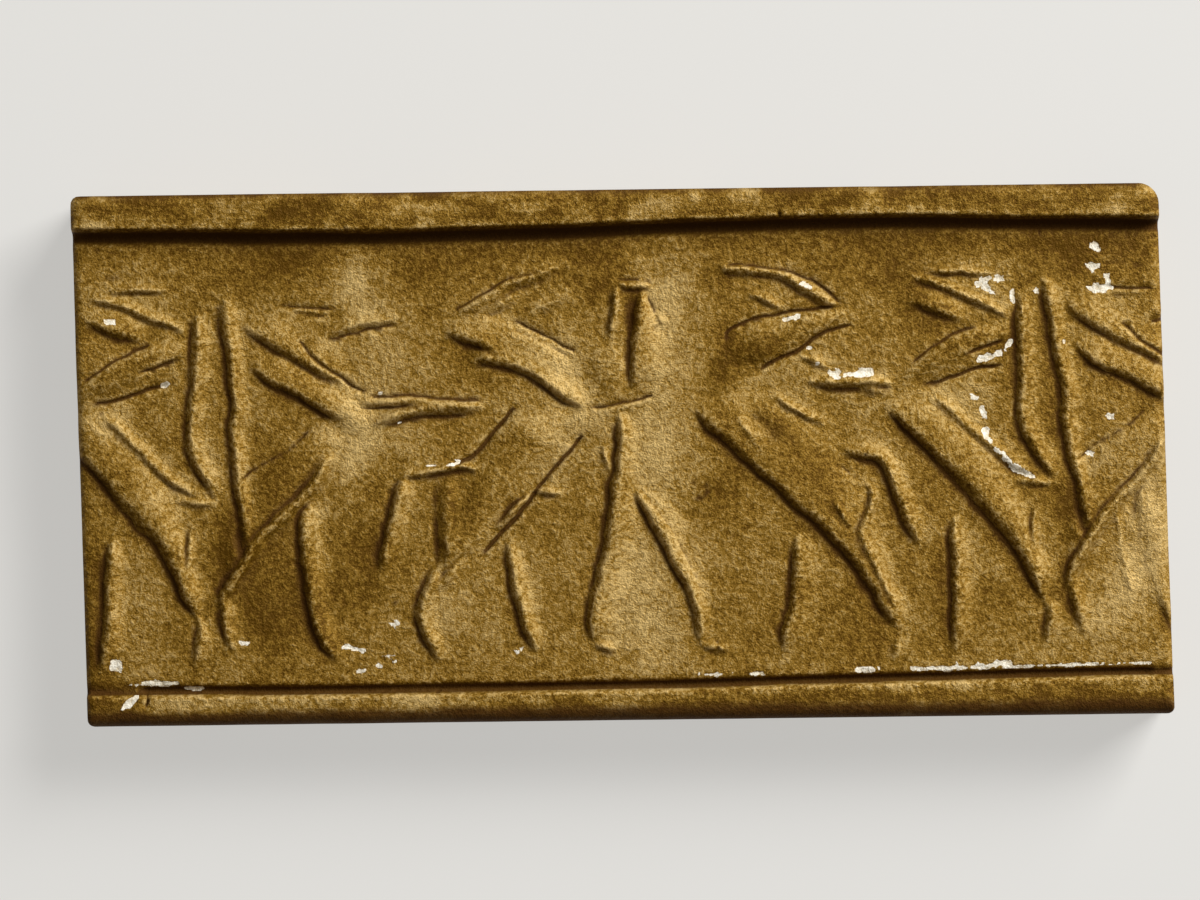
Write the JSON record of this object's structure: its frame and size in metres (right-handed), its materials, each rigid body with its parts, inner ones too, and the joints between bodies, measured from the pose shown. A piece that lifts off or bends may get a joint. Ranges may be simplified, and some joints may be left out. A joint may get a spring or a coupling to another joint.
{
  "type": "cylinder seal impression cast",
  "caption": "Flat plaster slab with a cylinder seal's rolled scene in low relief between two raised rims, lying on its back.",
  "frame": {"origin": "middle of the flat underside, at the centre of the slab's outline box", "axes": "+X along the slab's length, the way the seal rolled, towards the scene's right; +Y towards the scene's top; +Z out of the relief"},
  "size_m": [0.0556, 0.027, 0.005],
  "materials": {
    "bronze_painted_plaster": "fine-grained bronze paint over white plaster, semi-matte, rubbed on the ridges, dark in the recesses, chipped to white"
  },
  "bodies": {
    "root": {"impression_cast": "bronze_painted_plaster"}
  },
  "joints": []
}
